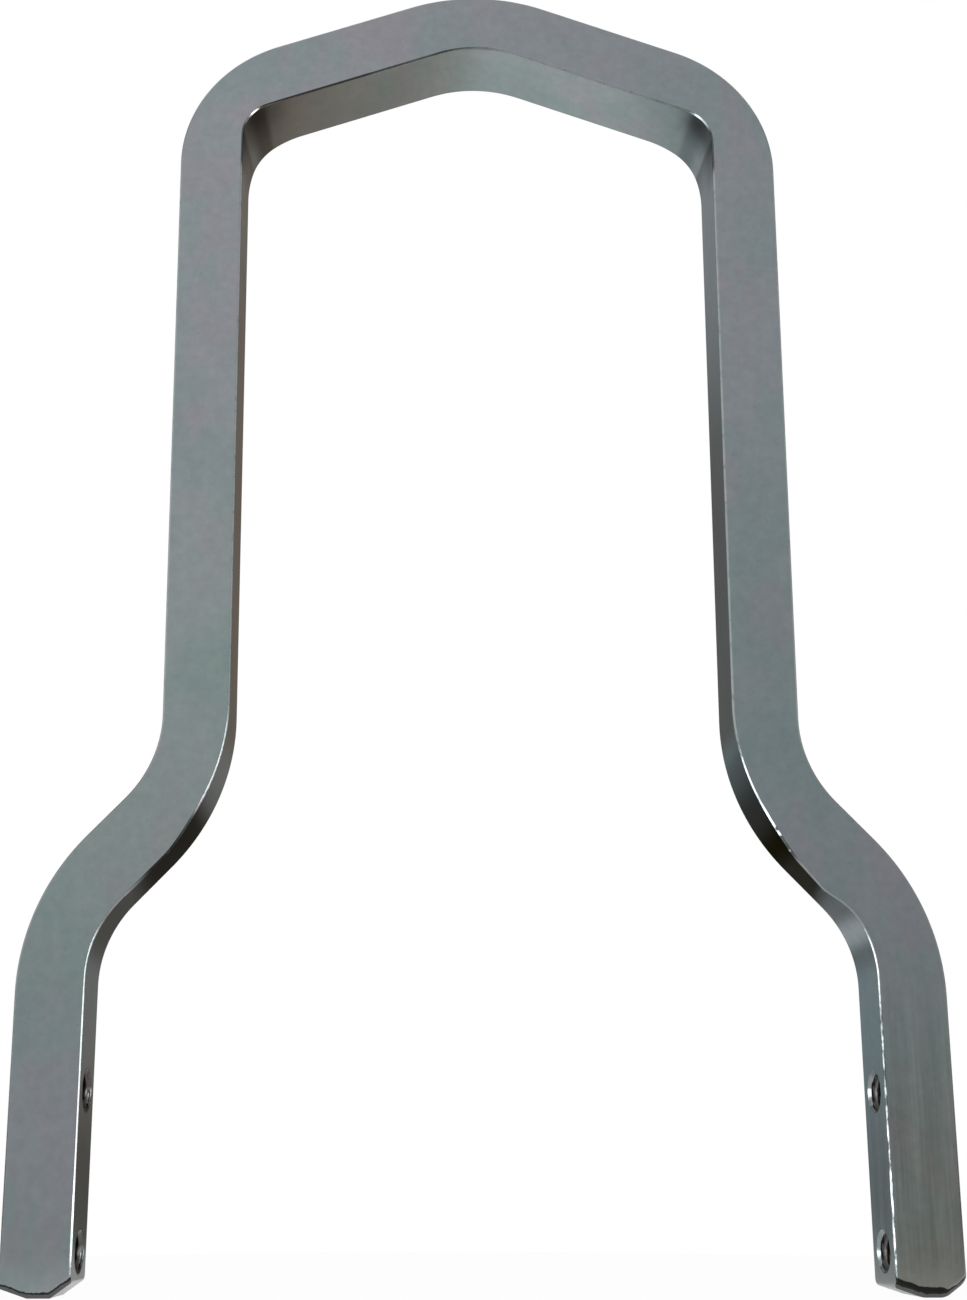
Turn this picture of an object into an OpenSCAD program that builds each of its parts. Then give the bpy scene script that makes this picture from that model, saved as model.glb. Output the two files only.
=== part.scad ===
// Sissy bar hoop: one square steel bar, bent cold into a hoop with a gabled top.
// The two legs come down from rounded shoulders, jog outwards above the seat rail
// and end in straight lower legs, each with two tapped holes for its side plate.
// Millimetres. +Z is up, the front of the hoop faces -Y, and the origin lies under
// the middle of the hoop, level with the feet.

/* [Bar stock] */
// Side of the square bar
bar = 15.875; // [14:0.125:19]
// Width of the flat broken along each long edge, measured along one face
edge_break = 0.8; // [0.3:0.1:1.5]

/* [Hoop outline] */
// Overall height, from the feet to the top of the peak
hoop_h = 333; // [300:1:450]
// Width across the outer faces of the lower legs
lower_w = 214; // [204:1:240]
// Width across the outer faces of the upper legs at the waist
waist_w = 151.5; // [140:0.5:160]
// Width across the outer faces of the upper legs at the shoulders
shoulder_w = 153.5; // [140:0.5:170]
// Height of the knee, where the centreline of a lower leg turns inwards
knee_z = 85.5; // [75:0.5:100]
// Rise of the slanted stretch, from the knee corner to the waist corner
jog_rise = 33.5; // [31:0.5:60]
// Pitch of the gable's two slopes
gable_pitch = 19.9; // [12:0.1:35]

/* [Bend radii] */
// Bend radius at the knees and the waist, to the centre of the bar
jog_r = 46.5; // [30:0.5:50]
// Bend radius at the shoulders, to the centre of the bar
shoulder_r = 29; // [20:0.5:45]
// Bend radius at the peak, to the centre of the bar
peak_r = 43.5; // [20:0.5:80]

/* [Mounting holes] */
// Bore of the tapped holes, the core of a 3/8-16 thread
hole_d = 7.94; // [6:0.02:9]
// Mouth of the countersink at both ends of a hole
sink_d = 9.8; // [9.2:0.1:12]
// Height of the lower hole above the feet
hole_z = 9.75; // [9:0.25:16]
// Distance between the two holes of a leg
hole_pitch = 36; // [20:0.5:45]

/* [Ground feet] */
// Width of the shallow slope ground on the left of each foot
shallow_w = 6.2; // [3:0.1:8]
// Height of that shallow slope
shallow_h = 2.1; // [0.5:0.1:3]
// Width of the steep slope ground on the right of each foot
steep_w = 4.6; // [2:0.1:7]
// Height of that steep slope
steep_h = 3.4; // [1:0.1:4]
// Chamfer ground along the front and back of each foot
foot_chamfer = 1.3; // [0.5:0.1:3]

/* [Hidden] */
$fn = 96;

// Centreline distances from the middle of the hoop
lower_x = (lower_w - bar) / 2;
waist_x = (waist_w - bar) / 2;
shoulder_x = (shoulder_w - bar) / 2;

// Heights of the centreline's corners
waist_z = knee_z + jog_rise;
peak_z = hoop_h - bar / 2 + peak_r * (1 / cos(gable_pitch) - 1);
shoulder_z = peak_z - shoulder_x * tan(gable_pitch);

// Extra length that the blank has below each foot, and a cutter past what it cuts
spare = 2;

// Cold bending draws the bar down, so every bend is this much slimmer all round
drawn = 0.01;

// Corners of the centreline of one half, as [x, z] from the peak to the foot's blank
corners = [
    [0, peak_z],
    [shoulder_x, shoulder_z],
    [waist_x, waist_z],
    [lower_x, knee_z],
    [lower_x, -spare]
];
radii = [peak_r, shoulder_r, jog_r, jog_r, 0];
last = len(corners) - 1;

// Dip of the stretch that leaves corner i, in degrees below +X
function dip(i) = -atan2(corners[i + 1].y - corners[i].y, corners[i + 1].x - corners[i].x);

// Turn at corner i, positive towards the inside of the hoop. The two halves share the
// peak's bend, so each has half of its turn.
function turn(i) = i == last ? 0 : i == 0 ? dip(0) : dip(i) - dip(i - 1);

// Distance from corner i to either end of its bend
function tangent(i) = i == last ? 0 : radii[i] * tan(abs(turn(i)) / (i == 0 ? 1 : 2));

// Straight run between the bends at corner i and corner i + 1
function run(i) = norm(corners[i + 1] - corners[i]) - tangent(i) - tangent(i + 1);

// Cross-section of the bar: a square with its four edges broken
module section(thinning = 0) {
    side = bar / 2 - thinning;
    flat = side - edge_break;
    polygon([
        [flat, side], [side, flat], [side, -flat], [flat, -side],
        [-flat, -side], [-side, -flat], [-side, flat], [-flat, side]
    ]);
}

// Slice of a ring that starts at the origin along +Z and turns by the angle towards +X.
// It is cut by the same two planes that its neighbours end on, so they meet face to face.
module bend(radius, angle) {
    side = sign(angle);
    wide = 4 * radius + 2 * bar;
    intersection() {
        translate([side * radius, 0, 0])
        rotate([90, 0, 0])
        rotate_extrude()
        translate([radius, 0])
        section(drawn);
        translate([-wide / 2, -wide / 2, 0])
        cube(wide);
        past_bend(radius, angle)
        translate([-wide / 2, -wide / 2, -wide])
        cube(wide);
    }
}

// Moves its children to the far end of a bend
module past_bend(radius, angle) {
    side = sign(angle);
    translate([side * radius, 0, 0])
    rotate([0, angle, 0])
    translate([-side * radius, 0, 0])
    children();
}

// Bar from corner i on, run along +Z with the inside of the hoop towards +X
module bar_from(i) {
    bend(radii[i], turn(i));
    past_bend(radii[i], turn(i)) {
        linear_extrude(run(i))
        section();
        if (i < last - 1)
            translate([0, 0, run(i)])
            bar_from(i + 1);
    }
}

// The bent bar before its holes are drilled and its feet are ground
module bent_bar() {
    for (side = [0, 1])
        mirror([side, 0, 0])
        translate([0, 0, hoop_h - bar / 2])
        rotate([0, 90, 0])
        bar_from(0);
}

// Cutter for one tapped hole, through a leg along X, with a countersink at each face
module hole() {
    sink = (sink_d - hole_d) / 2;
    for (end = [0, 1])
        mirror([end, 0, 0])
        translate([bar / 2 - sink, 0, 0])
        rotate([0, 90, 0])
        cylinder(h = sink + spare, d1 = hole_d, d2 = sink_d + 2 * spare);
    translate([-bar / 2 - spare, 0, 0])
    rotate([0, 90, 0])
    cylinder(h = bar + 2 * spare, d = hole_d);
}

// Cutter for all that lies below a ground plane through the origin, which rises to the
// right by the slope, with the chamfers along its front and back edges
module grind(slope) {
    wide = 3 * bar;
    rotate([0, -slope, 0]) {
        translate([-wide / 2, -wide / 2, -wide])
        cube(wide);
        for (face = [-1, 1])
            translate([0, face * (bar / 2 - foot_chamfer), 0])
            rotate([face * 45, 0, 0])
            translate([-wide / 2, -wide / 2, -wide])
            cube(wide);
    }
}

// Cutter for the three ground planes of one foot, for a leg centred on X = 0
module foot_cut() {
    grind(0);
    translate([-bar / 2 + shallow_w, 0, 0])
    grind(-atan2(shallow_h, shallow_w));
    translate([bar / 2 - steep_w, 0, 0])
    grind(atan2(steep_h, steep_w));
}

module hoop() {
    color([0.52, 0.54, 0.55])
    difference() {
        bent_bar();
        for (side = [-1, 1])
            translate([side * lower_x, 0, 0]) {
                for (level = [0, 1])
                    translate([0, 0, hole_z + level * hole_pitch])
                    hole();
                foot_cut();
            }
    }
}

hoop();
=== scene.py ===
import math

import bmesh
import bpy
from bpy.props import FloatProperty, FloatVectorProperty, PointerProperty
from bpy.types import Operator, Panel, PropertyGroup
from mathutils import Matrix, Vector


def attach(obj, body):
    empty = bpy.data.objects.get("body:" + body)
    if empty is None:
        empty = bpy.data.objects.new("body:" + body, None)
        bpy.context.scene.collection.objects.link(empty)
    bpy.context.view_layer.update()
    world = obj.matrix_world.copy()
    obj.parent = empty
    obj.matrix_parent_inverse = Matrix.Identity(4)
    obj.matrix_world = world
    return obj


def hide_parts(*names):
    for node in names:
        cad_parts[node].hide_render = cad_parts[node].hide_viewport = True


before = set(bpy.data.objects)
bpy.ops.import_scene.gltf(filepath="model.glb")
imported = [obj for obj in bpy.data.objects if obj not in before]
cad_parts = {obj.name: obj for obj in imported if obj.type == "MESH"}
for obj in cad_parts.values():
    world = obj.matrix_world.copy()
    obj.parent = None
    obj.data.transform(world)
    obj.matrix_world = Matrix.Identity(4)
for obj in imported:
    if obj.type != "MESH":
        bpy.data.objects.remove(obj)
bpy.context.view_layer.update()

bl_info = {
    "name": "Sissy bar hoop",
    "version": (1, 0, 0),
    "blender": (4, 5, 0),
    "location": "3D View > Sidebar > Hoop",
    "description": "A chromed sissy bar hoop bent from one square bar, and its studio",
    "category": "Object",
}

HOOP_NAME = "chromed_hoop"

# extra length that the blank has below each foot, before it is ground
SPARE = 0.002
# length of the stretch at each foot's end that the grinding works on
FOOT_STRETCH = 0.0245
# the grinding touches faces that lie wholly below this height
GROUND_BELOW = 0.03
# the swellings lie on points at least this far aside, and between these two heights
SWELL_ASIDE = 0.06
SWELL_HEIGHTS = (0.06, 0.13)
# height of each swelling's middle, and how far it reaches above and below it
LEFT_SWELLING = (0.0985, 0.008, 0.018)
RIGHT_SWELLING = (0.0948, 0.009, 0.0055)
# share of a swelling that goes inwards, and the same share downwards
SWELL_SHARE = 0.7


def metres(name, description, default, low=0.0, high=2.0):
    return FloatProperty(
        name=name,
        description=description,
        default=default,
        min=low,
        max=high,
        unit="LENGTH",
        precision=5,
    )


def share(name, description, default, high=1.0):
    return FloatProperty(
        name=name, description=description, default=default, min=0.0, max=high
    )


def tint(name, description, default):
    return FloatVectorProperty(
        name=name,
        description=description,
        default=default,
        size=3,
        subtype="COLOR",
        min=0.0,
        max=1.0,
    )


def power(name, description, default):
    return FloatProperty(
        name=name, description=description, default=default, min=0.0, unit="POWER", precision=4
    )


class HoopSizes(PropertyGroup):
    """Sizes of the bent bar"""

    bar: metres("Bar", "Side of the square bar", 0.015875)
    edge_break: metres("Edge break", "Flat broken along the bar's four edges", 0.00046)
    edge_soften: metres("Edge softening", "Rounding at both sides of that flat", 0.00013)
    height: metres("Height", "Overall height of the hoop", 0.333)
    lower_width: metres("Lower width", "Width across the lower legs", 0.214)
    waist_width: metres("Waist width", "Width across the upper legs at the waist", 0.1515)
    shoulder_width: metres("Shoulder width", "Width across the upper legs at the shoulders", 0.1535)
    knee_height: metres("Knee height", "Height where the lower legs turn inwards", 0.0855)
    jog_rise: metres("Jog rise", "Rise of the slanted stretch of each leg", 0.0335)
    gable_pitch: FloatProperty(
        name="Gable pitch",
        description="Pitch of the two slopes of the gable",
        default=math.radians(19.9),
        subtype="ANGLE",
    )
    jog_radius: metres("Jog radius", "Bend radius at the knees and the waist", 0.0465)
    shoulder_radius: metres("Shoulder radius", "Bend radius at the shoulders", 0.029)
    peak_radius: metres("Peak radius", "Bend radius at the peak", 0.0435)
    waist_hollow: metres("Waist hollow", "Radius of the pressed hollow side at the waist", 0.030)
    knee_hollow: metres("Knee hollow", "Radius of the pressed hollow side at the knees", 0.029)
    shoulder_hollow: metres(
        "Shoulder hollow", "Radius of the pressed hollow side at the shoulders", 0.0095
    )
    peak_hollow: metres("Peak hollow", "Radius of the pressed hollow side at the peak", 0.030)
    gable_fade: share(
        "Gable fade", "How much less the back is pressed than the front, in the gable", 0.8
    )
    left_swell: metres("Left swell", "Swelling of the front edge above the left knee", 0.0012)
    right_swell: metres("Right swell", "Swelling of the front edge above the right knee", 0.0021)
    bend_step: FloatProperty(
        name="Bend step",
        description="Turn of each step round a bend",
        default=math.radians(1.5),
        subtype="ANGLE",
    )


class HoleSizes(PropertyGroup):
    """Sizes of the tapped holes"""

    core: metres("Core", "Core diameter of the thread", 0.00794)
    major: metres("Major", "Outer diameter of the thread", 0.009525)
    pitch: metres("Pitch", "Pitch of the thread", 0.0015875)
    mouth: metres("Mouth", "Diameter of the countersink at either face", 0.0098)
    height: metres("Height", "Height of the lower hole", 0.00975)
    spacing: metres("Spacing", "Distance between the two holes of a leg", 0.036)


class FootSizes(PropertyGroup):
    """Sizes of the ground feet"""

    shallow_width: metres("Shallow width", "Width of the shallow slope on the left", 0.0062)
    shallow_height: metres("Shallow height", "Height of the shallow slope", 0.0021)
    steep_width: metres("Steep width", "Width of the steep slope on the right", 0.0046)
    steep_height: metres("Steep height", "Height of the steep slope", 0.0034)
    chamfer: metres("Chamfer", "Chamfer along the front and back of each foot", 0.0013)
    left_keel: metres("Left keel", "Rounding between the slopes of the left foot", 0.0006)
    right_keel: metres("Right keel", "Rounding between the slopes of the right foot", 0.0040)
    left_corner: metres("Left corner", "Rounding of the left foot's right-hand corner", 0.0008)
    right_corner: metres("Right corner", "Rounding of the right foot's right-hand corner", 0.0032)
    left_lip: metres("Left lip", "Rounding of the left foot's front and back lips", 0.0005)
    right_lip: metres("Right lip", "Rounding of the right foot's front and back lips", 0.0012)


class ChromeFinish(PropertyGroup):
    """Colours and gloss of the plating"""

    plate: tint("Plate", "Colour of the plating", (0.335, 0.352, 0.36))
    haze: tint("Haze", "Cooler tint of the hazy patches", (0.298, 0.343, 0.342))
    blush: tint("Blush", "Warmer tint of the hazy patches", (0.347, 0.334, 0.352))
    bore: tint(
        "Bore", "Colour of the thin plating in the threads and on worn edges", (0.15, 0.145, 0.14)
    )
    # colour of the dark reflection painted on the feet's lips and on the edges under the shoulders
    painted_dark_reflection: tint("Burnt", "Colour of the burnt plating on the feet's lips", (0.018, 0.017, 0.016))
    # tint of the painted shade in the gable's left corner
    corner_shade: tint(
        "Corner haze", "Tint of the haze in the gable's left corner", (0.56, 0.49, 0.43)
    )
    # tint of the painted shade in the gable's corners, by the front edge
    corner_front_shade: tint("Smoke", "Tint of the smoky plating in the gable's corners", (0.28, 0.25, 0.24))
    # tint of the painted shade under the jogs
    jog_shade: tint("Jog burn", "Tint of the burnt plating under the jogs", (0.09, 0.085, 0.075))
    roughness: share("Roughness", "Roughness of the plating", 0.17)
    streaks: share("Streaks", "Depth of the polishing streaks", 0.35)


class StudioLook(PropertyGroup):
    """Floor, room, lamps and background"""

    floor: tint("Floor", "Colour of the floor", (0.62, 0.62, 0.61))
    floor_radius: metres("Floor radius", "Radius of the round floor", 0.27, high=10.0)
    floor_white: share(
        "Floor whiteness", "How white the floor shows to the camera and in the metal", 0.965
    )
    front_high: tint("Front, high", "Light from the room in front, high up", (0.78, 0.79, 0.82))
    front_low: tint("Front, low", "Light from the room in front, low down", (0.55, 0.59, 0.61))
    front_corner: tint(
        "Front corner", "Light from the low front corner on the right", (0.36, 0.335, 0.28)
    )
    overhead: share("Overhead", "Light from straight above", 1.1, 4.0)
    side_left: tint("Left side", "Light from the left side", (1.0, 1.0, 1.0))
    side_right: tint("Right side", "Light from the right side", (0.82, 0.82, 0.82))
    side_low: tint("Sides, low", "Light from low down at the two sides", (0.22, 0.22, 0.22))
    back_left_high: tint(
        "Back left, high", "Light from high up behind on the left", (0.31, 0.336, 0.353)
    )
    back_left: tint("Back left", "Light from behind on the left", (0.15, 0.152, 0.145))
    back_left_low: tint(
        "Back left, low", "Light from low down behind on the left", (0.30, 0.37, 0.39)
    )
    back_left_foot: tint(
        "Back left, foot", "Light from foot height behind on the left", (0.20, 0.215, 0.225)
    )
    back_left_wide: tint("Back left, wide", "Light from far left behind", (0.50, 0.55, 0.56))
    back_right_high: tint(
        "Back right, high", "Light from high up behind on the right", (0.235, 0.22, 0.20)
    )
    back_right: tint("Back right", "Light from behind on the right", (0.185, 0.155, 0.125))
    back_right_knee: tint(
        "Back right, knee", "Light from knee height behind on the right", (0.235, 0.235, 0.225)
    )
    back_right_low: tint(
        "Back right, low", "Light from low down behind on the right", (0.115, 0.11, 0.097)
    )
    back_left_under: tint(
        "Back left, under",
        "Light from just under foot height behind on the left",
        (0.59, 0.64, 0.67),
    )
    back_right_under: tint(
        "Back right, under",
        "Light from just under foot height behind on the right",
        (0.105, 0.096, 0.087),
    )
    back_right_wide: tint("Back right, wide", "Light from far right behind", (0.32, 0.29, 0.26))
    front_down_left: tint(
        "Front left, down", "Light from far down in front on the left", (0.42, 0.44, 0.44)
    )
    front_down_right: tint(
        "Front right, down", "Light from far down in front on the right", (0.12, 0.115, 0.105)
    )
    back_low: tint("Back, low", "Light from low down behind", (0.085, 0.082, 0.075))
    back_floor: tint("Back, down", "Light from far down behind", (0.81, 0.855, 0.85))
    back_floor_right: tint(
        "Back right, down", "Light from far down behind on the right", (0.64, 0.635, 0.60)
    )
    glint: share("Glints", "Light from the small spots that the bends show", 5.0, 20.0)
    left_softbox: power("Left softbox", "Power of the gridded softbox on the left", 0.0110)
    right_softbox: power("Right softbox", "Power of the gridded softbox on the right", 0.0118)


# ---------------------------------------------------------------- the bent bar


def centreline(sizes):
    """Corners of the bar's centreline from the left foot to the right one.

    Each is (x, z, bend radius, radius of the pressed hollow side, fade of that pressing)."""
    lower = (sizes.lower_width - sizes.bar) / 2
    waist = (sizes.waist_width - sizes.bar) / 2
    shoulder = (sizes.shoulder_width - sizes.bar) / 2
    slope = sizes.gable_pitch
    peak_z = sizes.height - sizes.bar / 2 + sizes.peak_radius * (1 / math.cos(slope) - 1)
    waist_z = sizes.knee_height + sizes.jog_rise
    fade = sizes.gable_fade
    shoulder_z = peak_z - shoulder * math.tan(slope)
    half = [
        (lower, -SPARE, 0.0, 0.0, 0.0),
        (lower, sizes.knee_height, sizes.jog_radius, sizes.knee_hollow, 0.0),
        (waist, waist_z, sizes.jog_radius, sizes.waist_hollow, 0.0),
        (shoulder, shoulder_z, sizes.shoulder_radius, sizes.shoulder_hollow, fade),
    ]
    left = [(-corner[0], *corner[1:]) for corner in half]
    return left + [(0.0, peak_z, sizes.peak_radius, sizes.peak_hollow, fade)] + half[::-1]


def stretches(corners):
    """Straights and bends that follow each other along the centreline.

    A straight is (start, heading, length) and a bend is (start, heading, turn, radius,
    hollow radius, fade), with headings and turns clockwise from straight up, as seen from the
    front."""
    out = []
    here = Vector((corners[0][0], corners[0][1]))
    for i in range(1, len(corners)):
        corner = Vector(corners[i][:2])
        heading = math.atan2(corner.x - here.x, corner.y - here.y)
        turn, reach = 0.0, 0.0
        if i < len(corners) - 1:
            after = Vector(corners[i + 1][:2]) - corner
            turn = math.atan2(after.x, after.y) - heading
            turn = (turn + math.pi) % (2 * math.pi) - math.pi
            reach = corners[i][2] * math.tan(abs(turn) / 2)
        length = (corner - here).length - reach
        out.append(("straight", here.copy(), heading, length))
        way = Vector((math.sin(heading), math.cos(heading)))
        here = here + way * length
        if turn:
            out.append(("bend", here.copy(), heading, turn, *corners[i][2:]))
            after.normalize()
            here = corner + after * reach
    return out


def bend_centre(stretch):
    _, start, heading, turn, radius = stretch[:5]
    side = math.copysign(1.0, turn)
    return start + Vector((math.cos(heading), -math.sin(heading))) * side * radius


def rounded_blank(bm, sizes, at):
    """A square face with rounded corners, lying flat at the bottom of the left leg"""
    bmesh.ops.create_grid(bm, x_segments=1, y_segments=1, size=sizes.bar / 2)
    for offset, segments in ((sizes.edge_break, 1), (sizes.edge_soften, 3)):
        bmesh.ops.bevel(
            bm,
            geom=bm.verts[:],
            offset=offset,
            offset_type="OFFSET",
            segments=segments,
            profile=0.5,
            affect="VERTICES",
            clamp_overlap=True,
            material=-1,
        )
    bmesh.ops.translate(bm, vec=Vector((at.x, 0.0, at.y)), verts=bm.verts[:])
    return bm.faces[:]


def end_faces(geom):
    return [g for g in geom if isinstance(g, bmesh.types.BMFace)]


def with_rims(faces):
    """The faces with their edges and points"""
    edges = list({e for f in faces for e in f.edges})
    return faces + edges + list({v for f in faces for v in f.verts})


def draw_straight(bm, cap, heading, length, pieces):
    way = Vector((math.sin(heading), 0.0, math.cos(heading)))
    for _ in range(pieces):
        made = bmesh.ops.extrude_face_region(bm, geom=cap)["geom"]
        verts = [g for g in made if isinstance(g, bmesh.types.BMVert)]
        bmesh.ops.translate(bm, vec=way * (length / pieces), verts=verts)
        bmesh.ops.delete(bm, geom=cap, context="FACES_ONLY")
        cap = end_faces(made)
    return cap


def draw_bend(bm, cap, stretch, step):
    centre = bend_centre(stretch)
    turn = stretch[3]
    made = bmesh.ops.spin(
        bm,
        geom=with_rims(cap),
        cent=Vector((centre.x, 0.0, centre.y)),
        axis=Vector((0.0, 1.0, 0.0)),
        dvec=Vector((0.0, 0.0, 0.0)),
        angle=turn,
        steps=max(4, round(abs(turn) / step)),
        use_merge=False,
        use_normal_flip=False,
        use_duplicate=False,
    )
    return end_faces(made["geom_last"])


def press_bends(bm, parts, bar):
    """Presses the hollow side of each bend to its tighter radius at the front of the bar.

    What lies outside the hollow side or further back is pressed less."""
    for part in parts:
        if part[0] != "bend":
            continue
        _, start, _, turn, radius, hollow, fade = part
        centre = bend_centre(part)
        half_turn = abs(turn) / 2
        first = start - centre
        middle = math.atan2(first.x, first.y) + turn / 2
        inside = radius - bar / 2
        far = (inside - hollow) / math.cos(half_turn)
        reach = math.atan2(hollow * math.sin(half_turn), far + hollow * math.cos(half_turn))
        for v in bm.verts:
            spoke = Vector((v.co.x - centre.x, v.co.z - centre.y))
            if abs(spoke.length - radius) > bar * 0.51:
                continue
            angle = (math.atan2(spoke.x, spoke.y) - middle + math.pi) % (2 * math.pi) - math.pi
            if abs(angle) > half_turn + 1e-6:
                continue
            if abs(angle) < reach:
                aside = far * math.sin(angle)
                outline = far * math.cos(angle) + math.sqrt(hollow**2 - aside**2)
            else:
                outline = inside / math.cos(half_turn - abs(angle))
            share_in = (radius + bar / 2 - spoke.length) / bar
            share_in *= 1 - fade * (v.co.y / bar + 0.5)
            spoke *= 1 + share_in * (outline - inside) / spoke.length
            v.co.x, v.co.z = centre.x + spoke.x, centre.y + spoke.y


def swell_knees(bm, sizes, parts):
    """Swells the front edge above each knee's hollow side, where the bend upset the steel"""
    half = sizes.bar / 2
    low, high = SWELL_HEIGHTS
    for v in bm.verts:
        if abs(v.co.x) < SWELL_ASIDE or not low < v.co.z < high:
            continue
        if v.co.x < 0:
            size, (middle, above, below) = sizes.left_swell, LEFT_SWELLING
        else:
            size, (middle, above, below) = sizes.right_swell, RIGHT_SWELLING
        inward, deep, _ = run_of(v.co, parts)
        reach = above if v.co.z > middle else below
        push = size * max(0.0, inward / half) * max(0.0, -deep / half)
        push *= math.exp(-(((v.co.z - middle) / reach) ** 2))
        v.co.x -= math.copysign(push, v.co.x) * SWELL_SHARE
        v.co.z -= push * SWELL_SHARE


def grind(bm, x, bar, plane):
    """Takes off what lies beyond a plane at one foot and closes the ground face"""
    normal, distance = plane
    faces = [
        f
        for f in bm.faces
        if all(v.co.z < GROUND_BELOW and abs(v.co.x - x) < bar for v in f.verts)
    ]
    bmesh.ops.bisect_plane(
        bm,
        geom=with_rims(faces),
        dist=1e-6,
        plane_co=Vector((x, 0.0, 0.0)) + normal * distance,
        plane_no=normal,
        use_snap_center=False,
        clear_outer=True,
        clear_inner=False,
    )
    open_edges = [e for e in bm.edges if e.is_boundary]
    if open_edges:
        bmesh.ops.holes_fill(bm, edges=open_edges, sides=0)


def rounding(first, second, radius, count):
    """Planes, as (normal, distance), that touch the rounding between two planes"""
    (way, reach), (other, end) = first, second
    lean = way.dot(other)
    b = (end - radius - lean * (reach - radius)) / (1 - lean**2)
    a = reach - radius - lean * b
    middle = way * a + other * b
    normals = [way.lerp(other, n / (count + 1)).normalized() for n in range(1, count + 1)]
    return [(normal, middle.dot(normal) + radius) for normal in normals]


def grind_foot(bm, x, bar, foot, keel, corner, lip):
    """Three ground slopes with rounded keels, and a chamfer with a rounded lip front and back"""
    half = bar / 2
    shallow = math.atan2(foot.shallow_height, foot.shallow_width)
    steep = math.atan2(foot.steep_height, foot.steep_width)
    profile = [
        (Vector((-1.0, 0.0, 0.0)), half),
        (
            Vector((-math.sin(shallow), 0.0, -math.cos(shallow))),
            math.sin(shallow) * (half - foot.shallow_width),
        ),
        (Vector((0.0, 0.0, -1.0)), 0.0),
        (
            Vector((math.sin(steep), 0.0, -math.cos(steep))),
            math.sin(steep) * (half - foot.steep_width),
        ),
        (Vector((1.0, 0.0, 0.0)), half),
    ]
    ground = profile[1:4]
    for first, second, radius, count in zip(
        profile, profile[1:], (keel * 0.2, keel, keel, corner), (2, 1, 3, 4)
    ):
        ground = ground + rounding(first, second, radius, count)
    chamfers = []
    lips = []
    steepness = math.cos(steep)
    for normal, distance in ground:
        # the chamfer runs out where the ground turns into a side
        width = foot.chamfer * min(1.0, -normal.z / steepness)
        for side in (-1.0, 1.0):
            face = Vector((0.0, side, 0.0))
            chamfer = ((normal + face).normalized(), (distance + half - width) / math.sqrt(2))
            chamfers.append(chamfer)
            lips += rounding((face, half), chamfer, lip, 2)
    for plane in ground + chamfers + lips:
        grind(bm, x, bar, plane)
    loose = [e for e in bm.edges if e.is_wire]
    bmesh.ops.delete(bm, geom=loose, context="EDGES")


def bent_bar_mesh(sizes, foot):
    bm = bmesh.new()
    parts = stretches(centreline(sizes))
    cap = rounded_blank(bm, sizes, parts[0][1])
    for n, part in enumerate(parts):
        if part[0] == "straight":
            ends = n in (0, len(parts) - 1)
            if ends:
                # short stretch at the foot, so that grinding touches nothing else
                short, rest = FOOT_STRETCH, part[3] - FOOT_STRETCH
                lengths = [short, rest] if n == 0 else [rest, short]
                for length in lengths:
                    cap = draw_straight(bm, cap, part[2], length, 1)
            else:
                cap = draw_straight(bm, cap, part[2], part[3], max(1, round(part[3] / 0.02)))
        else:
            cap = draw_bend(bm, cap, part, sizes.bend_step)
    bmesh.ops.remove_doubles(bm, verts=bm.verts[:], dist=1e-7)
    bmesh.ops.recalc_face_normals(bm, faces=bm.faces[:])
    press_bends(bm, parts, sizes.bar)
    swell_knees(bm, sizes, parts)
    x = (sizes.lower_width - sizes.bar) / 2
    grind_foot(bm, -x, sizes.bar, foot, foot.left_keel, foot.left_corner, foot.left_lip)
    grind_foot(bm, x, sizes.bar, foot, foot.right_keel, foot.right_corner, foot.right_lip)
    bmesh.ops.recalc_face_normals(bm, faces=bm.faces[:])
    mesh = bpy.data.meshes.new(HOOP_NAME)
    bm.to_mesh(mesh)
    bm.free()
    return mesh


# ---------------------------------------------------------------- tapped holes


def thread_depth(hole, turn, along, half):
    """Radius of the hole's wall at a turn and a place along it, from its middle"""
    sink = (hole.mouth - hole.core) / 2
    cone = hole.core / 2 + max(0.0, abs(along) - (half - sink))
    phase = (along / hole.pitch - turn / (2 * math.pi)) % 1.0
    ridge = min(1.0, max(0.0, abs(phase - 0.5) * 2.6 - 0.15))
    wall = hole.core / 2 + (hole.major - hole.core) / 2 * (1.0 - ridge)
    return max(cone, wall)


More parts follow.
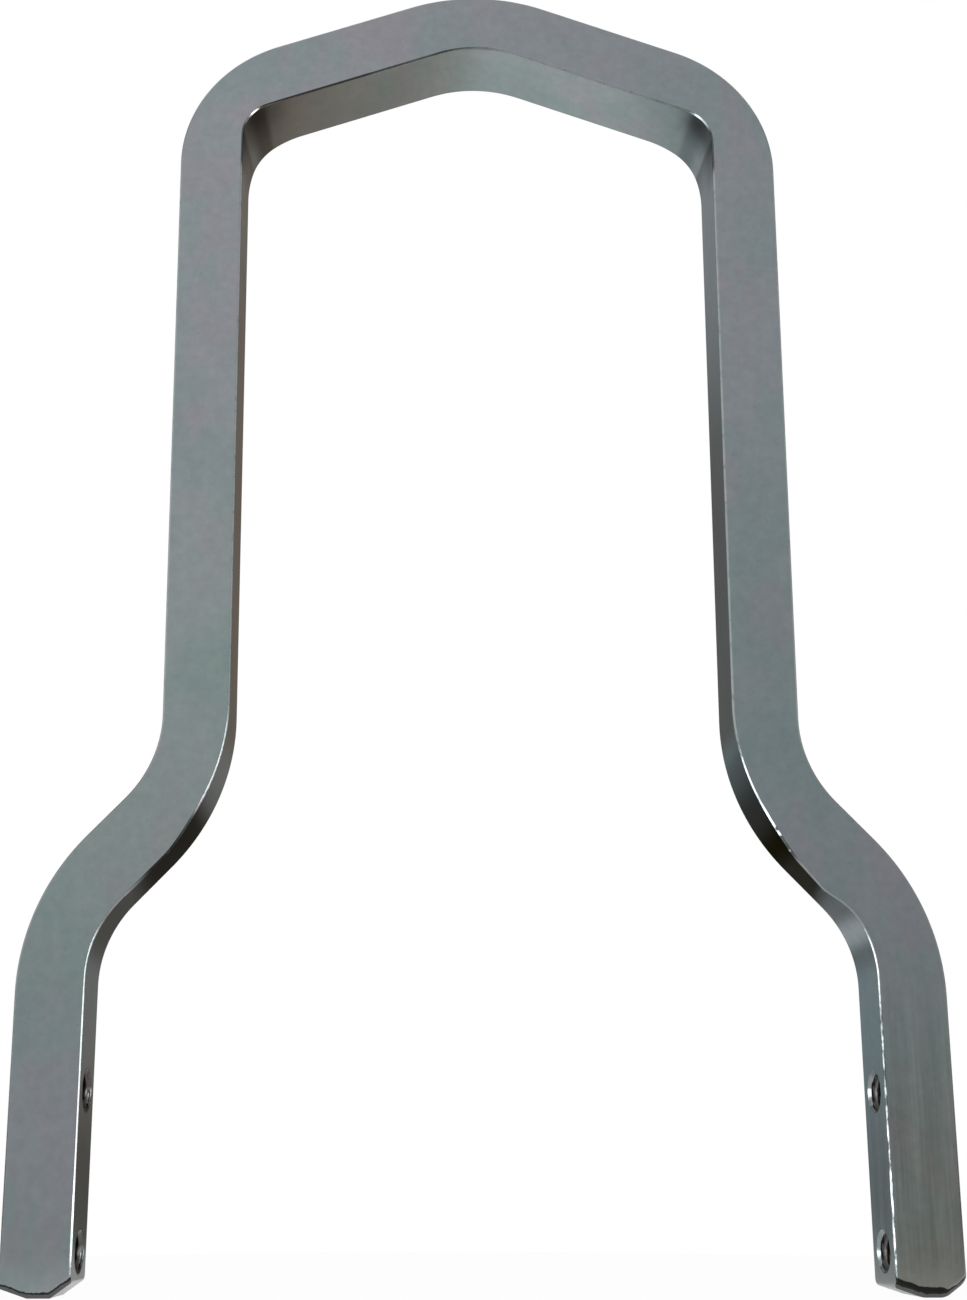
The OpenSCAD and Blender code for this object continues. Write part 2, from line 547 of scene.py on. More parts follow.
def hole_cutter(sizes, holes):
    """One cutter for all four holes: threaded cores with countersinks at both faces"""
    bm = bmesh.new()
    half = sizes.bar / 2
    rows = 96
    spokes = 48
    # how far the cutter stands out past both faces of the leg
    over = 0.0008
    leg = (sizes.lower_width - sizes.bar) / 2
    bmesh.ops.create_cone(
        bm,
        cap_ends=True,
        cap_tris=False,
        segments=spokes,
        radius1=holes.core / 2,
        radius2=holes.core / 2,
        depth=2 * (half + over),
    )
    sides = [e for e in bm.edges if abs(e.verts[0].co.z - e.verts[1].co.z) > half]
    bmesh.ops.subdivide_edges(bm, edges=sides, cuts=rows - 1, use_grid_fill=True)
    for v in bm.verts:
        turn = math.atan2(v.co.y, v.co.x)
        radius = thread_depth(holes, turn, v.co.z, half)
        v.co.x, v.co.y = radius * math.cos(turn), radius * math.sin(turn)
    bmesh.ops.rotate(
        bm, cent=Vector(), matrix=Matrix.Rotation(math.pi / 2, 3, "Y"), verts=bm.verts[:]
    )
    first = bm.faces[:] + bm.edges[:] + bm.verts[:]
    places = [(side * leg, holes.height + n * holes.spacing) for side in (-1, 1) for n in (0, 1)]
    for x, z in places[1:]:
        made = bmesh.ops.duplicate(bm, geom=first)["geom"]
        verts = [g for g in made if isinstance(g, bmesh.types.BMVert)]
        bmesh.ops.translate(bm, vec=Vector((x, 0.0, z)), verts=verts)
    verts = [g for g in first if isinstance(g, bmesh.types.BMVert)]
    bmesh.ops.translate(bm, vec=Vector((places[0][0], 0.0, places[0][1])), verts=verts)
    bmesh.ops.recalc_face_normals(bm, faces=bm.faces[:])
    mesh = bpy.data.meshes.new("hole_cutter")
    bm.to_mesh(mesh)
    bm.free()
    return bpy.data.objects.new("hole_cutter", mesh)


def keep_shape(hoop):
    """Keeps what the modifiers make as the hoop's own mesh"""
    bpy.context.view_layer.update()
    shaped = hoop.evaluated_get(bpy.context.evaluated_depsgraph_get())
    mesh = bpy.data.meshes.new_from_object(shaped)
    hoop.modifiers.clear()
    old = hoop.data
    hoop.data = mesh
    mesh.name = HOOP_NAME
    bpy.data.meshes.remove(old)


def drill(hoop, cutter):
    """Cuts the holes with the cutter, which is then thrown away"""
    bpy.context.scene.collection.objects.link(cutter)
    cut = hoop.modifiers.new("holes", "BOOLEAN")
    cut.operation = "DIFFERENCE"
    cut.solver = "EXACT"
    cut.object = cutter
    cut.material_mode = "TRANSFER"
    keep_shape(hoop)
    bpy.data.objects.remove(cutter)


def run_of(point, parts):
    """Place of a point on the bar: (across, deep, along), measured from the centreline"""
    here = Vector((point.x, point.z))
    best = None
    along = 0.0
    for part in parts:
        if part[0] == "straight":
            _, start, heading, length = part
            way = Vector((math.sin(heading), math.cos(heading)))
            side = Vector((way.y, -way.x))
            t = (here - start).dot(way)
            miss = max(0.0, -t, t - length)
            across = (here - start).dot(side)
            done = min(max(t, -0.01), length + 0.01)
        else:
            _, start, heading, turn, radius = part[:5]
            length = abs(turn) * radius
            centre = bend_centre(part)
            hand = math.copysign(1.0, turn)
            spoke = here - centre
            first = start - centre
            angle = math.atan2(spoke.x, spoke.y) - math.atan2(first.x, first.y)
            angle = (angle + math.pi) % (2 * math.pi) - math.pi
            t = angle * hand * radius
            miss = max(0.0, -t, t - length)
            across = (radius - spoke.length) * hand
            done = min(max(t, 0.0), length)
        cost = miss + abs(across)
        if best is None or cost < best[0]:
            best = (cost, across, along + done)
        along += length
    return (best[1], point.y, best[2])


def mark_run(mesh, parts):
    """Stores each point's place on the bar, so that the finish follows the bends"""
    values = []
    for v in mesh.vertices:
        values.extend(run_of(v.co, parts))
    layer = mesh.attributes.new("bar_run", "FLOAT_VECTOR", "POINT")
    layer.data.foreach_set("vector", values)


def smooth_flats(hoop):
    """Smooth shading with flats kept flat and ground edges kept crisp"""
    mesh = hoop.data
    mesh.shade_smooth()
    mesh.set_sharp_from_angle(angle=math.radians(32))
    weigh = hoop.modifiers.new("flat shading", "WEIGHTED_NORMAL")
    weigh.mode = "FACE_AREA"
    weigh.weight = 90
    weigh.keep_sharp = True
    keep_shape(hoop)


# ---------------------------------------------------------------- the finish


class Graph:
    """Adds shader nodes and links in short lines"""

    def __init__(self, tree):
        self.tree = tree
        tree.nodes.clear()

    def add(self, kind, inputs=None, **settings):
        node = self.tree.nodes.new(kind)
        for key, value in settings.items():
            setattr(node, key, value)
        for key, value in (inputs or {}).items():
            self.put(node.inputs[key], value)
        return node

    def put(self, socket, value):
        if isinstance(value, bpy.types.NodeSocket):
            self.tree.links.new(value, socket)
        else:
            socket.default_value = value

    def maths(self, operation, a, b=0.0, clamp=False):
        node = self.add("ShaderNodeMath", {0: a, 1: b}, operation=operation, use_clamp=clamp)
        return node.outputs[0]

    def ramp(self, value, low, high, to_low=0.0, to_high=1.0, smooth=True):
        node = self.add(
            "ShaderNodeMapRange",
            {
                "Value": value,
                "From Min": low,
                "From Max": high,
                "To Min": to_low,
                "To Max": to_high,
            },
            interpolation_type="SMOOTHSTEP" if smooth else "LINEAR",
        )
        return node.outputs[0]

    def blend(self, factor, a, b, mode="MIX"):
        node = self.add("ShaderNodeMix", data_type="RGBA", blend_type=mode)
        for socket, value in zip((node.inputs[0], node.inputs[6], node.inputs[7]), (factor, a, b)):
            self.put(socket, value)
        return node.outputs[2]

    def tinted(self, factor, base, colour):
        """The base, multiplied by the colour as far as the factor says"""
        return self.blend(factor, base, self.blend(1.0, base, colour, "MULTIPLY"))

    def grey(self, value):
        return self.add("ShaderNodeCombineColor", {0: value, 1: value, 2: value}).outputs[0]

    def noise(self, vector, scale, detail=3.0, roughness=0.55, distortion=0.0):
        return self.add(
            "ShaderNodeTexNoise",
            {
                "Vector": vector,
                "Scale": scale,
                "Detail": detail,
                "Roughness": roughness,
                "Distortion": distortion,
            },
        ).outputs[0]

    def stretched(self, vector, x, y, z):
        return self.add(
            "ShaderNodeMapping", {"Vector": vector, "Scale": (x, y, z)}, vector_type="POINT"
        ).outputs[0]


def opaque(colour):
    return (colour[0], colour[1], colour[2], 1.0)


def chrome_material(finish, sizes, holes, foot):
    material = bpy.data.materials.new("worn_chrome")
    material.use_nodes = True
    g = Graph(material.node_tree)
    run = g.add("ShaderNodeAttribute", attribute_name="bar_run").outputs["Vector"]
    coords = g.add("ShaderNodeTexCoord").outputs
    place = coords["Object"]
    x, y, z = g.add("ShaderNodeSeparateXYZ", {0: place}).outputs
    _, facing_y, facing_z = g.add("ShaderNodeSeparateXYZ", {0: coords["Normal"]}).outputs
    facing = g.maths("ABSOLUTE", facing_y)
    inward, deep, _ = g.add("ShaderNodeSeparateXYZ", {0: run}).outputs
    inner_front = g.maths("MULTIPLY", g.ramp(inward, 0.0, 0.004), g.ramp(deep, 0.0, -0.004))

    # height above the ground slopes of the nearer foot
    leg = (sizes.lower_width - sizes.bar) / 2
    half = sizes.bar / 2
    across = g.maths("SUBTRACT", x, g.maths("MULTIPLY", g.maths("SIGN", x), leg))
    rise_left = g.maths("SUBTRACT", foot.shallow_width - half, across)
    rise_left = g.maths("MULTIPLY", rise_left, foot.shallow_height / foot.shallow_width)
    rise_right = g.maths("SUBTRACT", across, half - foot.steep_width)
    rise_right = g.maths("MULTIPLY", rise_right, foot.steep_height / foot.steep_width)
    ground = g.maths("MAXIMUM", g.maths("MAXIMUM", rise_left, rise_right), 0.0)
    height_up = g.maths("SUBTRACT", z, ground)

    # polishing streaks that run along the bar, plain to see only low on the right leg
    fine = g.noise(g.stretched(run, 1500.0, 1500.0, 45.0), 1.0, 4.0, 0.6)
    broad = g.noise(g.stretched(run, 300.0, 300.0, 14.0), 1.0, 3.0, 0.5)
    brushed = g.maths("MULTIPLY", g.ramp(x, 0.080, 0.094), g.ramp(z, 0.085, 0.045))
    brushed = g.maths("ADD", 0.12, g.maths("MULTIPLY", brushed, 0.88))
    # cloudy patches, a fine mottle and pinprick specks in the plating
    cloud = g.noise(place, 34.0, 3.0, 0.55, 0.4)
    cloud_two = g.noise(g.stretched(place, 1.0, 1.0, 0.6), 61.0, 3.0, 0.6, 0.3)
    mottle = g.noise(place, 420.0, 4.0, 0.65)
    speck = g.ramp(g.noise(place, 1100.0, 2.0, 0.5), 0.70, 0.75)

    base = g.blend(g.ramp(cloud, 0.40, 0.60), opaque(finish.plate), opaque(finish.haze))
    base = g.blend(g.ramp(cloud_two, 0.50, 0.66, 0.0, 0.8), base, opaque(finish.blush))
    streak = g.maths("ADD", g.maths("SUBTRACT", fine, 0.5), g.maths("SUBTRACT", broad, 0.5))
    shade = g.maths("MULTIPLY", g.maths("MULTIPLY", streak, brushed), finish.streaks)
    shade = g.maths("ADD", shade, g.ramp(mottle, 0.3, 0.7, 0.94, 1.06, smooth=False))
    shade = g.maths("SUBTRACT", shade, g.maths("MULTIPLY", speck, 0.12))
    base = g.blend(1.0, base, g.grey(shade), "MULTIPLY")

    # brownish painted shade in the two inner corners of the gable, more on the left
    corner = g.maths("MULTIPLY", g.ramp(z, 0.262, 0.282), g.ramp(facing_z, -0.35, -0.65))
    corner_shade_left = g.maths("MULTIPLY", corner, g.ramp(x, 0.004, -0.058))
    corner_shade_right = g.maths("MULTIPLY", corner, g.ramp(x, 0.030, 0.062))
    base = g.tinted(corner_shade_left, base, opaque(finish.corner_shade))
    base = g.tinted(corner_shade_right, base, (0.70, 0.72, 0.72, 1.0))

    # painted shade under the two jogs, longer under the right one
    jog_shade_left = g.maths("MULTIPLY", g.ramp(z, 0.090, 0.0965), g.ramp(z, 0.115, 0.108))
    jog_shade_right = g.maths("MULTIPLY", g.ramp(z, 0.0885, 0.094), g.ramp(z, 0.136, 0.122))
    jog_shade_right = g.maths("MULTIPLY", jog_shade_right, g.ramp(facing, 0.5, 0.3))
    under = g.add("ShaderNodeMix", {0: g.ramp(x, -0.01, 0.01), 2: jog_shade_left, 3: jog_shade_right})
    under = g.maths("MULTIPLY", under.outputs[0], g.ramp(facing_z, -0.03, -0.24))
    base = g.tinted(under, base, opaque(finish.jog_shade))

    # painted shade in the gable's two inner corners, darkest by the front edge
    corner_front_shade = g.maths("MULTIPLY", g.ramp(z, 0.277, 0.284), g.ramp(z, 0.304, 0.297))
    corner_front_shade = g.maths("MULTIPLY", corner_front_shade, g.ramp(facing, 0.6, 0.4))
    corner_front_shade_left = g.maths("MULTIPLY", g.ramp(x, -0.040, -0.055), g.ramp(y, 0.007, -0.007))
    corner_front_shade_right = g.maths("MULTIPLY", g.ramp(x, 0.051, 0.057), g.ramp(y, 0.003, -0.006))
    corner_front_shade = g.maths("MULTIPLY", corner_front_shade, g.maths("MAXIMUM", corner_front_shade_left, corner_front_shade_right))
    corner_front_shade = g.maths("MULTIPLY", corner_front_shade, g.ramp(g.maths("ABSOLUTE", x), 0.066, 0.062))
    base = g.tinted(corner_front_shade, base, opaque(finish.corner_front_shade))

    # nicked edges, which sparkle low on the right leg; painted highlight dashes on the right jog's
    # edge, and a painted dark reflection on the edges under the shoulders
    edge = g.maths("MULTIPLY", g.ramp(facing, 0.22, 0.42), g.ramp(facing, 0.97, 0.92))
    edge = g.maths("MULTIPLY", edge, g.ramp(height_up, 0.0014, 0.0019))
    nick = g.noise(g.stretched(place, 1.0, 1.0, 0.7), 620.0, 3.0, 0.7)
    worn = g.maths("MULTIPLY", edge, g.ramp(nick, 0.54, 0.66))
    base = g.blend(g.maths("MULTIPLY", worn, 0.4), base, opaque(finish.bore))
    sparkle = g.maths("MULTIPLY", g.ramp(x, 0.08, 0.09), g.ramp(z, 0.075, 0.060))
    sparkle = g.maths("MULTIPLY", sparkle, g.ramp(across, 0.0, -0.002))
    sparkle = g.maths("MULTIPLY", g.maths("MULTIPLY", sparkle, edge), inner_front)
    glitter = g.noise(g.stretched(place, 1.0, 1.0, 0.35), 900.0, 2.0, 0.6)
    glitter = g.grey(g.ramp(glitter, 0.38, 0.64, 0.15, 0.95))
    base = g.tinted(sparkle, base, glitter)
    # painted highlight: the edge's reflectance raised in dashes, with darker gaps, on the right jog
    highlight_dashes = g.maths("MULTIPLY", g.ramp(z, 0.098, 0.101), g.ramp(z, 0.114, 0.110))
    highlight_dashes = g.maths("MULTIPLY", g.maths("MULTIPLY", highlight_dashes, g.ramp(x, 0.05, 0.06)), edge)
    highlight_dashes = g.maths("MULTIPLY", highlight_dashes, inner_front)
    broken = g.grey(g.ramp(g.noise(place, 300.0, 1.0, 0.5), 0.44, 0.50, 0.3, 2.6))
    base = g.tinted(highlight_dashes, base, broken)
    # painted dark reflection on the inner edges under the shoulders
    shoulder_edge_shade = g.maths("MULTIPLY", g.ramp(z, 0.280, 0.284), g.ramp(z, 0.296, 0.293))
    shoulder_edge_shade = g.maths("MULTIPLY", shoulder_edge_shade, g.ramp(g.maths("ABSOLUTE", x), 0.064, 0.060))
    shoulder_edge_shade = g.maths("MULTIPLY", shoulder_edge_shade, edge)
    base = g.blend(g.maths("MULTIPLY", shoulder_edge_shade, 0.9), base, opaque(finish.painted_dark_reflection))

    # painted highlight: the edges' reflectance raised by the feet, and here and there along the
    # gable
    gable_highlight_patches = g.ramp(g.noise(place, 55.0), 0.36, 0.52, 0.0, 0.3)
    bright = g.maths("MULTIPLY", g.ramp(z, 0.294, 0.298), gable_highlight_patches)
    foot_highlight = g.maths("MULTIPLY", g.ramp(z, 0.030, 0.018), g.ramp(height_up, 0.003, 0.006))
    bright = g.maths("MAXIMUM", bright, foot_highlight)
    bright = g.maths("MULTIPLY", g.maths("MULTIPLY", bright, edge), inner_front)
    base = g.tinted(bright, base, g.grey(2.3))

    # cooler plating on the front between the knees and the middle, more on the right leg
    front_face = g.ramp(facing, 0.85, 0.95)
    cool_left = g.maths("MULTIPLY", g.ramp(z, 0.05, 0.09), g.ramp(x, 0.01, -0.01))
    cool_right = g.maths("MULTIPLY", g.ramp(z, 0.105, 0.128), g.ramp(x, -0.01, 0.01))
    cool = g.maths("MULTIPLY", g.maths("MAXIMUM", cool_left, cool_right), g.ramp(z, 0.21, 0.16))
    cool = g.maths("MULTIPLY", cool, front_face)
    base = g.tinted(cool, base, (0.985, 1.045, 0.985, 1.0))
    cool = g.maths("MULTIPLY", cool, g.ramp(x, 0.0, 0.05))
    base = g.tinted(cool, base, (0.935, 0.94, 0.965, 1.0))

    # brownish painted shade low on the front of the right leg, in place of a dimmer reflection of
    # the floor
    low_front_shade = g.maths("MULTIPLY", g.ramp(z, 0.024, 0.004), g.ramp(x, 0.08, 0.09))
    low_front_shade = g.maths("MULTIPLY", low_front_shade, front_face)
    base = g.tinted(low_front_shade, base, (0.81, 0.74, 0.68, 1.0))

    # painted dark reflection on the lips of the ground feet, thicker on the right one, and painted
    # shade on the chamfers below them
    ragged = g.maths("MULTIPLY", g.maths("SUBTRACT", nick, 0.5), 0.0011)
    above = g.maths("ADD", height_up, ragged)
    top = g.maths("MULTIPLY", g.ramp(x, -0.01, 0.01), g.ramp(across, 0.0052, 0.0020))
    top = g.maths("ADD", 0.00145, g.maths("MULTIPLY", top, 0.0010))
    fade = g.maths("SUBTRACT", top, above)
    lip = g.maths("MULTIPLY", g.ramp(fade, 0.0, 0.0002), g.ramp(above, 0.00075, 0.00095))
    lip = g.maths("MULTIPLY", lip, g.ramp(facing, 0.5, 0.6))
    chamfer_shade = g.maths("MULTIPLY", g.ramp(above, 0.0010, 0.0008), g.ramp(facing, 0.5, 0.6))
    chamfer_shade = g.maths("MULTIPLY", chamfer_shade, g.ramp(facing, 0.96, 0.88))
    base = g.tinted(chamfer_shade, base, (0.45, 0.42, 0.40, 1.0))
    base = g.blend(g.maths("MULTIPLY", lip, 0.97), base, opaque(finish.painted_dark_reflection))

    # dull threads inside the four holes
    sink = (holes.mouth - holes.core) / 2
    inside = g.maths("ABSOLUTE", g.maths("SUBTRACT", g.maths("ABSOLUTE", x), leg))
    inside = g.ramp(inside, half - sink * 0.75, half - sink * 1.2)
    ring = None
    for n in (0, 1):
        up = g.maths("SUBTRACT", z, holes.height + n * holes.spacing)
        away = g.maths("SQRT", g.maths("ADD", g.maths("POWER", up, 2.0), g.maths("POWER", y, 2.0)))
        near = g.ramp(away, holes.mouth * 0.56, holes.mouth * 0.52)
        ring = near if ring is None else g.maths("MAXIMUM", ring, near)
    bore = g.maths("MULTIPLY", inside, ring)
    base = g.blend(bore, base, opaque(finish.bore))
    # painted shade in the left leg's holes, apart from a strip at the height of their middles
    hole_shade = g.maths("MULTIPLY", ring, g.ramp(x, 0.01, -0.01))
    off_middle = g.maths("SUBTRACT", z, holes.height)
    off_middle = g.maths("PINGPONG", off_middle, holes.spacing / 2)
    hole_shade = g.maths("MULTIPLY", hole_shade, g.ramp(off_middle, 0.0, 0.0015))
    base = g.tinted(hole_shade, base, (0.4, 0.36, 0.33, 1.0))

    rough = g.ramp(cloud, 0.4, 0.65, finish.roughness, finish.roughness + 0.05)
    rough = g.maths("ADD", rough, g.maths("MULTIPLY", g.maths("MULTIPLY", streak, brushed), 0.15))
    rough = g.maths("ADD", rough, g.maths("MULTIPLY", g.maths("MAXIMUM", bore, lip), 0.15))

    height = g.maths("MULTIPLY", g.maths("MULTIPLY", streak, brushed), 1.2)
    height = g.maths("ADD", height, g.maths("MULTIPLY", mottle, 0.35))
    height = g.maths("ADD", height, g.maths("MULTIPLY", cloud, 1.0))
    height = g.maths("ADD", height, g.maths("MULTIPLY", g.maths("MULTIPLY", edge, nick), 2.5))
    bump = g.add("ShaderNodeBump", {"Height": height, "Strength": 0.25, "Distance": 0.00006})

    skin = g.add(
        "ShaderNodeBsdfPrincipled",
        {"Base Color": base, "Roughness": rough, "Normal": bump.outputs[0]},
    )
    # the painted shade under the jogs also dims the sheen at a low angle, most of all low under the
    # right jog
    sheen_shade = g.maths("MULTIPLY", g.ramp(z, 0.124, 0.103), g.ramp(x, -0.01, 0.01, 0.75, 1.0))
    sheen_shade = g.maths("MULTIPLY", under, sheen_shade)
    edge_on = g.blend(sheen_shade, (1.0, 1.0, 1.0, 1.0), (0.38, 0.37, 0.35, 1.0))
    g.put(skin.inputs["Specular Tint"], edge_on)
    skin.inputs["Metallic"].default_value = 1.0
    out = g.add("ShaderNodeOutputMaterial")
    g.put(out.inputs[0], skin.outputs[0])
    return material


class HOOP_OT_make_hoop(Operator):
    """Bend the square bar, grind its feet, tap its holes and plate it"""

    bl_idname = "hoop.make_hoop"
    bl_label = "Make the hoop"

    def execute(self, context):
        scene = context.scene
        sizes, holes, foot = scene.hoop_sizes, scene.hole_sizes, scene.foot_sizes
        hoop = bpy.data.objects.new(HOOP_NAME, bent_bar_mesh(sizes, foot))
        scene.collection.objects.link(hoop)
        drill(hoop, hole_cutter(sizes, holes))
        mark_run(hoop.data, stretches(centreline(sizes)))
        hoop.data.materials.clear()
        hoop.data.materials.append(chrome_material(scene.chrome_finish, sizes, holes, foot))
        smooth_flats(hoop)
        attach(hoop, "root")
        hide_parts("hoop")
        return {"FINISHED"}


# ---------------------------------------------------------------- the stage


def round_floor(look):
    bm = bmesh.new()
    bmesh.ops.create_circle(
        bm, cap_ends=True, cap_tris=False, segments=96, radius=look.floor_radius
    )
    mesh = bpy.data.meshes.new("studio_floor")
    bm.to_mesh(mesh)
    bm.free()
    floor = bpy.data.objects.new("studio_floor", mesh)
    bpy.context.scene.collection.objects.link(floor)
    material = bpy.data.materials.new("pale_floor")
    material.use_nodes = True
    g = Graph(material.node_tree)
    matt = g.add("ShaderNodeBsdfDiffuse", {"Color": opaque(look.floor)})
    white = g.add("ShaderNodeEmission", {"Color": (1.0, 1.0, 1.0, 1.0), "Strength": 1.0})
    ray = g.add("ShaderNodeLightPath")
    seen = g.maths("MAXIMUM", ray.outputs["Is Camera Ray"], ray.outputs["Is Transmission Ray"])
    # the metal sees the floor's whiteness only from close by the feet
    place = g.add("ShaderNodeTexCoord").outputs["Object"]
    _, y, _ = g.add("ShaderNodeSeparateXYZ", {0: place}).outputs
    close = g.maths("MULTIPLY", g.ramp(y, -0.125, -0.095), g.ramp(y, 0.05, 0.03))
    glossy = g.maths("MULTIPLY", g.maths("MULTIPLY", ray.outputs["Is Glossy Ray"], close), 0.6)
    seen = g.maths("MULTIPLY", g.maths("MAXIMUM", seen, glossy), look.floor_white)
    mixed = g.add("ShaderNodeMixShader", {0: seen, 1: matt.outputs[0], 2: white.outputs[0]})
    out = g.add("ShaderNodeOutputMaterial")
    g.put(out.inputs[0], mixed.outputs[0])
    mesh.materials.append(material)
    return floor


def studio_world(look):
    """A room that is dim behind, pale in front, and bright overhead and at the sides"""
    world = bpy.data.worlds.new("studio")
    bpy.context.scene.world = world
    world.use_nodes = True
    g = Graph(world.node_tree)
    aim = g.add("ShaderNodeTexCoord").outputs["Generated"]
    x, y, z = g.add("ShaderNodeSeparateXYZ", {0: aim}).outputs
    aside = g.maths("ABSOLUTE", x)

    front = g.blend(g.ramp(z, -0.05, 0.62), opaque(look.front_low), opaque(look.front_high))
    front = g.blend(1.0, front, g.grey(g.ramp(z, 0.61, 0.70, 1.0, 0.90)), "MULTIPLY")
    right = g.ramp(x, -0.15, 0.28)
    front = g.tinted(right, front, (0.80, 0.80, 0.81, 1.0))
    corner = g.maths("MULTIPLY", g.ramp(x, 0.16, 0.34), g.ramp(z, 0.16, -0.02))
    front = g.blend(corner, front, opaque(look.front_corner))
    down = g.blend(
        g.ramp(x, -0.05, 0.30), opaque(look.front_down_left), opaque(look.front_down_right)
    )
    front = g.blend(g.ramp(z, -0.16, -0.34), front, down)

    left = g.blend(g.ramp(z, -0.01, 0.10), opaque(look.back_left_foot), opaque(look.back_left_low))
    left = g.blend(g.ramp(z, -0.025, -0.085), left, opaque(look.back_left_under))
    left = g.blend(g.ramp(z, 0.16, 0.25), left, opaque(look.back_left))
    left = g.blend(g.ramp(z, 0.44, 0.56), left, opaque(look.back_left_high))
    right = g.blend(
        g.ramp(z, 0.02, 0.10), opaque(look.back_right_low), opaque(look.back_right_knee)
    )
    right = g.blend(g.ramp(z, -0.03, -0.09), right, opaque(look.back_right_under))
    right = g.blend(g.ramp(z, 0.15, 0.28), right, opaque(look.back_right))
    right = g.blend(g.ramp(z, 0.50, 0.66), right, opaque(look.back_right_high))
    back = g.blend(g.ramp(x, -0.10, 0.10), left, right)
    floor = g.blend(
        g.ramp(x, -0.15, 0.36), opaque(look.back_floor), opaque(look.back_floor_right)
    )
    low = g.blend(g.ramp(z, -0.30, -0.48), opaque(look.back_low), floor)
    back = g.blend(g.ramp(z, -0.15, -0.24), back, low)
    wide = g.maths("MULTIPLY", g.ramp(aside, 0.40, 0.50), g.ramp(z, -0.52, -0.42))
    wide = g.maths("MULTIPLY", wide, g.ramp(z, 0.52, 0.42))
    far = g.blend(g.ramp(x, -0.1, 0.1), opaque(look.back_left_wide), opaque(look.back_right_wide))
    back = g.blend(wide, back, far)

    level = g.blend(g.ramp(y, -0.15, 0.30), front, back)
    side = g.blend(g.ramp(x, -0.3, 0.3), opaque(look.side_left), opaque(look.side_right))
    side = g.blend(g.ramp(z, 0.16, 0.02), side, opaque(look.side_low))
    sideways = g.maths("MULTIPLY", g.ramp(aside, 0.62, 0.85), g.ramp(y, 0.45, 0.15))
    level = g.blend(sideways, level, side)
    level = g.blend(g.ramp(z, 0.74, 0.86), level, opaque((look.overhead,) * 3))
    # direction of each spot, cosines at the rims of its core and of its halo, and its strength
    glints = (
        ((-0.764, -0.553, -0.334), 0.985, 0.965, 1.0),
        ((-0.870, -0.470, -0.150), 0.985, 0.955, 0.35),
        ((0.823, -0.487, -0.292), 0.988, 0.972, 1.0),
        ((-0.740, -0.365, -0.560), 0.985, 0.960, 0.8),
    )
    for spot, core, halo, strength in glints:
        near = g.add("ShaderNodeVectorMath", {0: aim, 1: spot}, operation="DOT_PRODUCT")
        near = g.ramp(near.outputs["Value"], halo, core)
        level = g.blend(near, level, opaque((look.glint * strength,) * 3))
    room = g.add("ShaderNodeBackground", {"Color": level, "Strength": 1.0})

    white = g.add("ShaderNodeBackground", {"Color": (1.0, 1.0, 1.0, 1.0), "Strength": 1.0})
    ray = g.add("ShaderNodeLightPath")
    seen = g.maths("MAXIMUM", ray.outputs["Is Camera Ray"], ray.outputs["Is Transmission Ray"])
    mixed = g.add("ShaderNodeMixShader", {0: seen, 1: room.outputs[0], 2: white.outputs[0]})
    out = g.add("ShaderNodeOutputWorld")
    g.put(out.inputs[0], mixed.outputs[0])


def gridded_softbox(name, place, aim, size, spread, power):
    """A softbox with a grid, which lights only what it faces"""
    lamp = bpy.data.lights.new(name, "AREA")
    lamp.shape = "RECTANGLE"
    lamp.size, lamp.size_y = size
    lamp.spread = spread
    lamp.energy = power
    box = bpy.data.objects.new(name, lamp)
    box.location = place
    box.rotation_euler = (Vector(aim) - Vector(place)).to_track_quat("-Z", "Y").to_euler()
    box.visible_camera = False
    bpy.context.scene.collection.objects.link(box)


def photo_camera():
    camera = bpy.data.cameras.new("photo_camera")
    camera.lens = 41.755
    camera.sensor_width = 36.0
    camera.sensor_fit = "AUTO"
    camera.shift_x = 0.0380
    camera.shift_y = 0.1769
    camera.clip_start = 0.01
    eye = bpy.data.objects.new("photo_camera", camera)
    eye.location = (-0.01847, -0.35107, 0.02241)
    eye.rotation_euler = [math.radians(a) for a in (101.7833, -0.0160, -1.1856)]
    bpy.context.scene.collection.objects.link(eye)
    bpy.context.scene.camera = eye


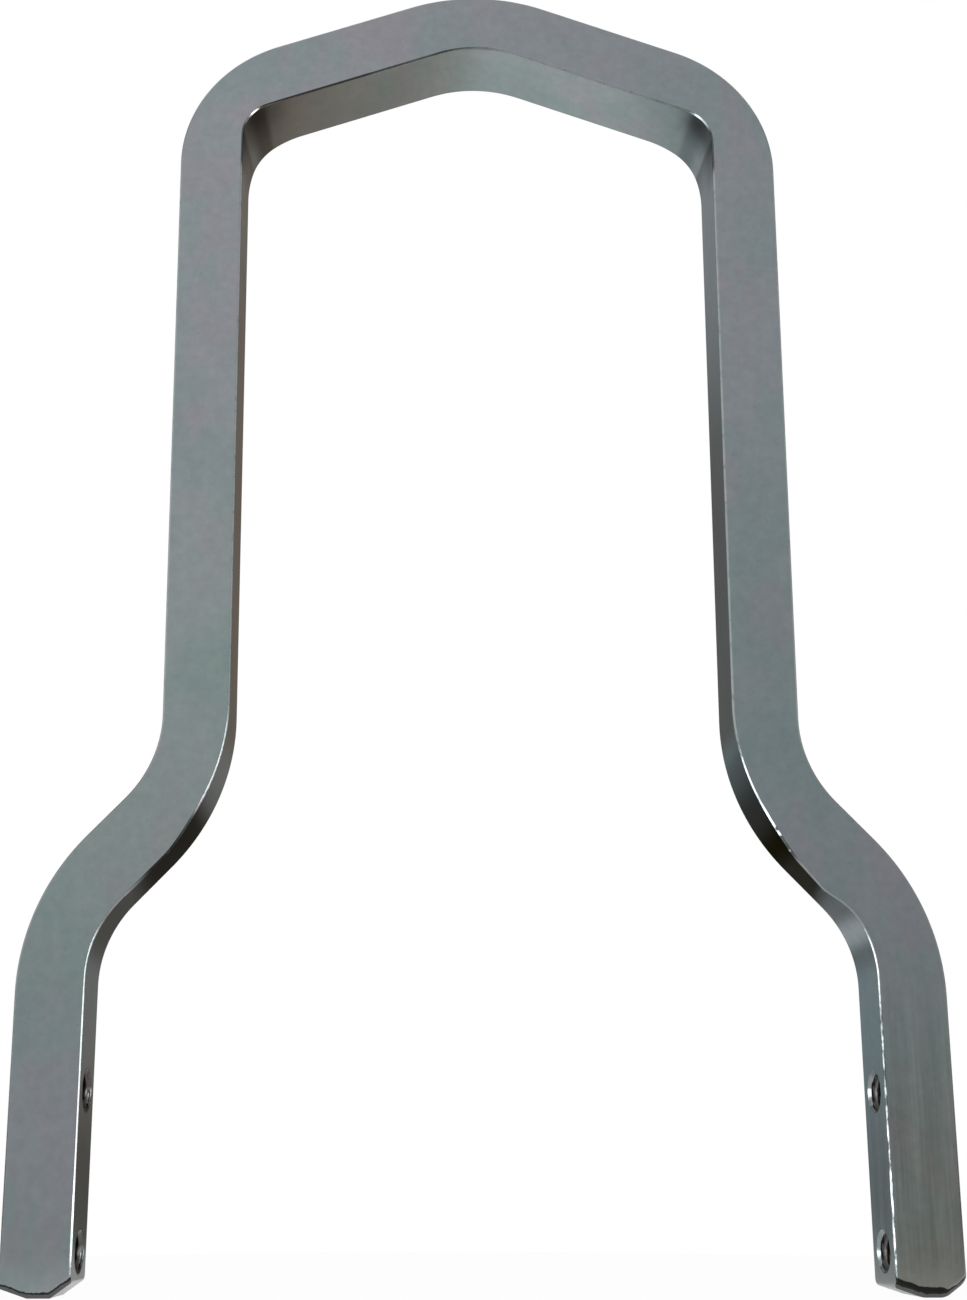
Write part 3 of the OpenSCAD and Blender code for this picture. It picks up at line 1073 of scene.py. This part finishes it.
class HOOP_OT_make_stage(Operator):
    """Lay the floor and set the lamps, the background and the camera"""

    bl_idname = "hoop.make_stage"
    bl_label = "Make the stage"

    def execute(self, context):
        look = context.scene.studio_look
        aside, forward, width = 0.125, -0.062, 0.06
        round_floor(look)
        studio_world(look)
        for name, side, height, energy in (
            ("left_softbox", -1, 0.118, look.left_softbox),
            ("right_softbox", 1, 0.172, look.right_softbox),
        ):
            gridded_softbox(
                name,
                (side * aside, forward, height / 2),
                (0.0, -0.03, height / 2),
                (width, height),
                math.radians(60),
                energy,
            )
        photo_camera()
        context.scene.view_settings.view_transform = "Standard"
        return {"FINISHED"}


class HOOP_PT_panel(Panel):
    """Lists the hoop's pieces and their sizes"""

    bl_idname = "HOOP_PT_panel"
    bl_label = "Sissy bar hoop"
    bl_space_type = "VIEW_3D"
    bl_region_type = "UI"
    bl_category = "Hoop"

    def draw(self, context):
        scene = context.scene
        for label, group, operator in (
            ("Bar", scene.hoop_sizes, None),
            ("Holes", scene.hole_sizes, None),
            ("Feet", scene.foot_sizes, None),
            ("Chrome", scene.chrome_finish, HOOP_OT_make_hoop.bl_idname),
            ("Studio", scene.studio_look, HOOP_OT_make_stage.bl_idname),
        ):
            box = self.layout.box()
            box.label(text=label)
            for key in group.__annotations__:
                box.prop(group, key)
            if operator:
                box.operator(operator)


GROUPS = {
    "hoop_sizes": HoopSizes,
    "hole_sizes": HoleSizes,
    "foot_sizes": FootSizes,
    "chrome_finish": ChromeFinish,
    "studio_look": StudioLook,
}
CLASSES = [*GROUPS.values(), HOOP_OT_make_hoop, HOOP_OT_make_stage, HOOP_PT_panel]


def register():
    for cls in CLASSES:
        bpy.utils.register_class(cls)
    for name, group in GROUPS.items():
        setattr(bpy.types.Scene, name, PointerProperty(type=group))


def unregister():
    for name in GROUPS:
        delattr(bpy.types.Scene, name)
    for cls in reversed(CLASSES):
        bpy.utils.unregister_class(cls)


def main():
    register()
    bpy.ops.hoop.make_stage()
    bpy.ops.hoop.make_hoop()


if __name__ == "__main__":
    main()
